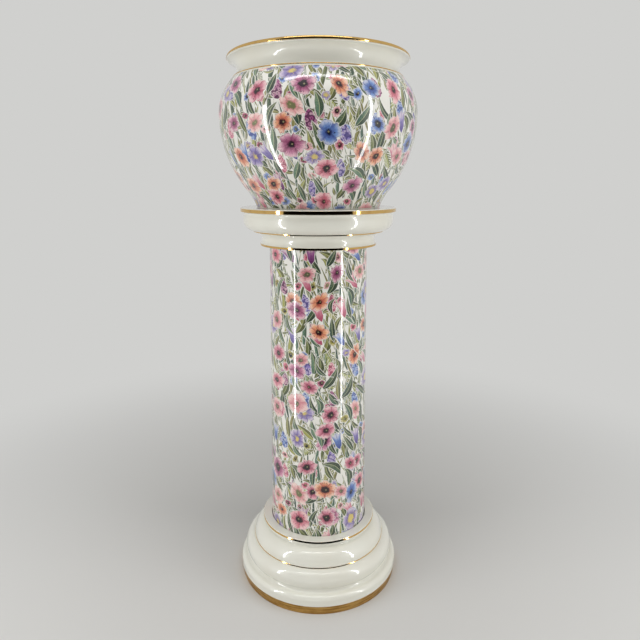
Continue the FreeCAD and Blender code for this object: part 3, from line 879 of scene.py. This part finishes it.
def foot_gold():
    """The broad gold band of the foot, brushed on: satin, streaked round the piece and mottled."""
    settings = bpy.context.scene.gold
    shader = Shader("foot_gold")
    place = shader.object_place()
    x, y, z = shader.parts(place)
    streak = shader.noise(shader.vector(x, y, z * 14.0), 26.0, 4.0, 0.65)
    mottle = shader.noise(place, 70.0, 2.0)
    deep = shader.step(streak + mottle * 0.3, 0.52, 0.82)
    shader.set_surface(
        Base_Color=shader.blend(deep, settings.foot[:], settings.foot_deep[:]), Metallic=1.0,
        Roughness=0.30 + deep * 0.16)
    shader.bump(streak, strength=0.12, distance=0.0006)
    return shader.material


def adhesive():
    """Set adhesive: dull, gritty and unevenly grey."""
    settings = bpy.context.scene.glaze
    shader = Shader("joint_adhesive")
    grit = shader.noise(shader.object_place(), 180.0, 3.0)
    shader.set_surface(
        Base_Color=shader.blend(grit * 0.5, settings.adhesive[:], settings.adhesive_deep[:]), Roughness=0.75)
    shader.bump(grit, strength=0.4, distance=0.0006)
    return shader.material


# ---- operators

class JARDINIERE_OT_printed(bpy.types.Operator):
    """Turn the pot and the stand's column, and glaze both over their flowered print"""
    bl_idname = "jardiniere.printed"
    bl_label = "Pot and column"

    def execute(self, context):
        rounding = context.scene.turning.glaze_round
        pot = Outline("jardiniere_pot", rounding)
        pot.origin = pot.outermost(max(pot.line)[1])[1]
        pot.print_ends = [pot.outermost(height)[1] for height in (POT_FOOT + rounding, POT_PRINT_TOP)]
        column = Outline("stand_column", rounding)
        column.print_ends = [
            column.outermost(height)[1] for height in (COLUMN_FOOT + rounding, COLUMN_TOP - rounding)]
        column.origin = column.print_ends[0] - COLUMN_START
        material = printed_glaze(pot, column)
        for outline, name, slot in ((pot, "pot", "pot_glaze"), (column, "column", "column_glaze")):
            outline.part_at(outline.print_ends)
            outline.turned(name, material, slot)
        return {"FINISHED"}


class JARDINIERE_OT_stand_ends(bpy.types.Operator):
    """Turn the stand's moulded base and cap, in plain ivory glaze"""
    bl_idname = "jardiniere.stand_ends"
    bl_label = "Base and cap"

    def execute(self, context):
        glaze = plain_glaze()
        for node in ("stand_base", "stand_cap"):
            outline = Outline(node, context.scene.turning.glaze_round)
            outline.turned(node.removeprefix("stand_"), glaze, "white_glaze")
        return {"FINISHED"}


class JARDINIERE_OT_gilding(bpy.types.Operator):
    """Lay the burnished gold lines on the mouldings"""
    bl_idname = "jardiniere.gilding"
    bl_label = "Gold lines"

    def execute(self, context):
        gold = bright_gold()
        for node in sorted(name for name in frame["nodes"] if name.endswith("_gilding")):
            if node != "base_foot_gilding":
                rounding = 0.0 if node in SHEENS else context.scene.turning.gold_round
                outline = Outline(node, rounding, SHEENS.get(node, PLAIN_SHEEN))
                outline.turned(node.replace("gilding", "line"), gold, "gilding")
        return {"FINISHED"}


class JARDINIERE_OT_foot_band(bpy.types.Operator):
    """Lay the broad brushed gold band round the foot"""
    bl_idname = "jardiniere.foot_band"
    bl_label = "Foot band"

    def execute(self, context):
        outline = Outline("base_foot_gilding", context.scene.turning.gold_round)
        outline.turned("foot_band", foot_gold(), "foot_gilding")
        return {"FINISHED"}


class JARDINIERE_OT_beds(bpy.types.Operator):
    """Give the two adhesive beds in the stand's sockets their finish"""
    bl_idname = "jardiniere.beds"
    bl_label = "Adhesive beds"

    def execute(self, context):
        material = adhesive()
        for node in ("base_joint_bed", "cap_joint_bed"):
            bed = frame["nodes"][node]
            bed.data.materials.clear()
            bed.data.materials.append(material)
        return {"FINISHED"}


class JARDINIERE_OT_studio(bpy.types.Operator):
    """Set the camera, the lights, the black card and the pale floor"""
    bl_idname = "jardiniere.studio"
    bl_label = "Studio"

    def execute(self, context):
        settings = context.scene.studio
        self.camera(context, settings)
        for side in (-1, 1):
            self.strip(context, settings, side)
            self.broad(context, settings, side)
        self.card(context, settings)
        self.overhead(context, settings)
        self.floor(context, settings)
        self.world(context, settings)
        context.scene.view_settings.view_transform = "Standard"
        return {"FINISHED"}

    def place(self, context, name, data, location, aim=None):
        made = bpy.data.objects.new(name, data)
        made.location = location
        if aim is not None:
            made.rotation_euler = (Vector(aim) - Vector(location)).to_track_quat("-Z", "Y").to_euler()
        context.scene.collection.objects.link(made)
        return made

    def camera(self, context, settings):
        data = bpy.data.cameras.new("camera")
        data.lens = settings.lens
        data.shift_y = settings.camera_shift
        place = (settings.camera_aside, -settings.camera_distance, settings.camera_height)
        camera = self.place(context, "camera", data, place)
        camera.rotation_euler = (math.pi / 2 - settings.camera_pitch, 0, 0)
        context.scene.camera = camera

    def light(self, context, name, shape, size, power, location, aim, hidden=()):
        """An area light that the camera, and other rays if named, don't see."""
        data = bpy.data.lights.new(name, "AREA")
        data.shape = shape
        data.size, data.size_y = size
        data.energy = power
        light = self.place(context, name, data, location, aim)
        for ray in ("camera", *hidden):
            setattr(light, "visible_" + ray, False)

    def strip(self, context, settings, side):
        """A tall narrow light at one side, which gloss shows as a streak."""
        height = settings.strip_height - (settings.strip_low_top if side < 0 else 0)
        middle = settings.strip_bottom + height / 2
        across = side * settings.strip_distance * math.sin(settings.strip_angle)
        deep = -settings.strip_distance * math.cos(settings.strip_angle)
        self.light(
            context, "strip_light", "RECTANGLE", (settings.strip_width, height), settings.strip_power,
            (across, deep, middle), (0, 0, middle), ["diffuse"])

    def broad(self, context, settings, side):
        """A broad soft light from the side, which gloss doesn't show."""
        across, deep, height = SIDE_PLACE
        self.light(
            context, "side_light", "SQUARE", (SIDE_SIZE, SIDE_SIZE), settings.side_power,
            (side * across, deep, height), SIDE_AIM, ["glossy"])

    def overhead(self, context, settings):
        """A soft light from above, and a narrow one over the camera, which gloss shows."""
        self.light(
            context, "overhead_light", "DISK", (OVERHEAD_SIZE, OVERHEAD_SIZE), settings.top_power,
            OVERHEAD_PLACE, OVERHEAD_AIM, ["glossy"])
        self.light(
            context, "front_light", "RECTANGLE", FRONT_SIZE, settings.front_power, FRONT_PLACE, FRONT_AIM)

    def sheet(self, context, name, location, make, **shape):
        """A flat piece of the stage, from one of bmesh's operators."""
        mesh = bpy.data.meshes.new(name)
        work = bmesh.new()
        make(work, **shape)
        work.to_mesh(mesh)
        work.free()
        made = self.place(context, name, mesh, location)
        return made

    def card(self, context, settings):
        """A black card behind the camera, for gloss and gold alone to show."""
        card = self.sheet(
            context, "black_card", CARD_PLACE, bmesh.ops.create_grid, x_segments=1, y_segments=1, size=0.5)
        card.rotation_euler = (math.pi / 2, 0, 0)
        card.scale = (settings.card_width, CARD_HEIGHT, 1)
        shader = Shader("black_card")
        shader.set_surface(Base_Color=settings.card[:], Roughness=1.0, Specular_IOR_Level=0.0)
        card.data.materials.append(shader.material)
        for ray in ("camera", "diffuse", "transmission", "shadow", "volume_scatter"):
            setattr(card, "visible_" + ray, False)

    def floor(self, context, settings):
        floor = self.sheet(
            context, "floor", (0, 0, 0), bmesh.ops.create_circle, cap_ends=True, segments=96,
            radius=FLOOR_RADIUS)
        floor.data.materials.append(self.floor_finish(settings))

    def floor_finish(self, settings):
        """Plain pale paper that fades into the background towards its edge."""
        shader = Shader("pale_paper")
        shader.set_surface(Base_Color=settings.floor[:], Roughness=0.9, Specular_IOR_Level=0.1)
        x, y, _ = shader.parts(shader.object_place())
        fade = shader.step(shader.maths("SQRT", x * x + y * y), FADE_START, FADE_END)
        seen = self.seen(shader)
        backdrop = shader.node("ShaderNodeEmission", Color=settings.backdrop[:], Strength=1.0)
        mixed = shader.node(
            "ShaderNodeMixShader", _0=fade * seen, _1=shader.surface.outputs[0], _2=backdrop.outputs[0])
        shader.feed(shader.tree.nodes["Material Output"].inputs["Surface"], mixed.outputs[0])
        return shader.material

    def seen(self, shader):
        """1 for what the camera sees, straight, mirrored or through glass."""
        path = shader.node("ShaderNodeLightPath")
        ways = [Value(shader, path.outputs[name])
                for name in ("Is Camera Ray", "Is Glossy Ray", "Is Transmission Ray")]
        return shader.least(ways[0] + ways[1] + ways[2], 1.0)

    def world(self, context, settings):
        world = bpy.data.worlds.new("soft_room")
        context.scene.world = world
        world.use_nodes = True
        shader = Shader(tree=world.node_tree)
        background = shader.tree.nodes["Background"]
        background.inputs["Color"].default_value = (*settings.backdrop, 1)
        seen = self.seen(shader)
        shader.feed(background.inputs["Strength"], settings.world + seen * (1.0 - settings.world))


class JARDINIERE_PT_parts(bpy.types.Panel):
    bl_idname = "JARDINIERE_PT_parts"
    bl_label = "Jardiniere"
    bl_space_type = "VIEW_3D"
    bl_region_type = "UI"
    bl_category = "Jardiniere"

    def draw(self, context):
        for operator in OPERATORS:
            self.layout.operator(operator.bl_idname)
        for name in SETTINGS:
            settings = getattr(context.scene, name)
            box = self.layout.box()
            for setting in settings.bl_rna.properties:
                if setting.identifier not in ("rna_type", "name"):
                    box.prop(settings, setting.identifier)


SETTINGS = {
    "turning": TurningSettings,
    "glaze": GlazeSettings,
    "gold": GoldSettings,
    "studio": StudioSettings,
}
OPERATORS = (
    JARDINIERE_OT_printed,
    JARDINIERE_OT_stand_ends,
    JARDINIERE_OT_gilding,
    JARDINIERE_OT_foot_band,
    JARDINIERE_OT_beds,
    JARDINIERE_OT_studio,
)


def register():
    for made in (*SETTINGS.values(), *OPERATORS, JARDINIERE_PT_parts):
        bpy.utils.register_class(made)
    for name, group in SETTINGS.items():
        setattr(bpy.types.Scene, name, bpy.props.PointerProperty(type=group))


def unregister():
    for name in SETTINGS:
        delattr(bpy.types.Scene, name)
    for made in (JARDINIERE_PT_parts, *reversed(OPERATORS), *SETTINGS.values()):
        bpy.utils.unregister_class(made)


def main():
    register()
    bpy.ops.jardiniere.printed()
    bpy.ops.jardiniere.stand_ends()
    bpy.ops.jardiniere.gilding()
    bpy.ops.jardiniere.foot_band()
    bpy.ops.jardiniere.beds()
    bpy.ops.jardiniere.studio()


if __name__ == "__main__":
    main()
